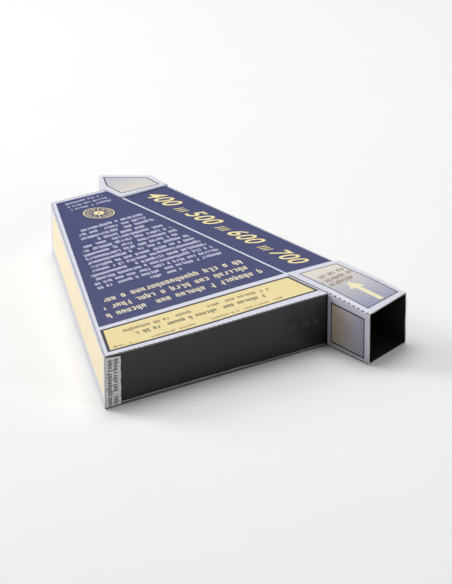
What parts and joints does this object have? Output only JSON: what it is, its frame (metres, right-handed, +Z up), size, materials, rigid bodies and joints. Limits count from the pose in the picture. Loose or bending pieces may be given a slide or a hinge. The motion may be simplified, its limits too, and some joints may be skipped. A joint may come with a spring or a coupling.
{
  "type": "hand spectroscope",
  "caption": "Folded card hand spectroscope: fan-shaped box with a light tube and slit in front, a lens and grating at an oblique eyepiece, and a scale in the wide front.",
  "frame": {"origin": "centre of the footprint, on the face that the box lies on", "axes": "+Y from the light tube to the eyepiece, along the sight channel; +X to the right, from the fan towards the channel; +Z up"},
  "size_m": [0.148, 0.2168, 0.0249],
  "materials": {
    "printed_top": "satin printed card, dark blue fields with cream print and pale margins",
    "cream_wall": "satin printed card, pale cream with pale margins",
    "hatched_hood": "satin printed card, fine hatching from tan to violet blue with pale margins",
    "plain_card": "uncoated pale card",
    "grey_tab": "uncoated grey card",
    "black_card": "matt black card",
    "slit_paper": "matt black paper",
    "scale_film": "glossy dark film with a clear scale",
    "lens_plastic": "clear polished plastic",
    "grating_film": "clear embossed film"
  },
  "bodies": {
    "root": {"body_top_panel": "printed_top", "body_bottom_panel": "plain_card", "body_left_wall": "cream_wall", "body_right_wall": "cream_wall", "body_back_wall": "cream_wall", "body_left_glue_flap": "plain_card", "body_back_glue_flap": "plain_card", "body_right_glue_flap": "plain_card", "front_glue_tab": "grey_tab", "front_lower_lip": "grey_tab", "scale_film": "scale_film", "scale_cover_lower": "black_card", "scale_cover_upper": "black_card", "light_baffle": "black_card", "light_baffle_foot": "black_card", "slit_plate": "black_card", "slit_blade_left": "slit_paper", "slit_blade_right": "slit_paper", "tube_top_panel": "hatched_hood", "tube_bottom_panel": "plain_card", "tube_left_wall": "hatched_hood", "tube_right_wall": "hatched_hood", "tube_glue_flap": "black_card", "eyepiece_top_panel": "hatched_hood", "eyepiece_bottom_panel": "plain_card", "eyepiece_left_wall": "hatched_hood", "eyepiece_window_wall": "hatched_hood", "eyepiece_side_flap": "hatched_hood", "lens_holder": "black_card", "lens": "lens_plastic", "grating_holder": "black_card", "grating_film": "grating_film"}
  },
  "joints": []
}
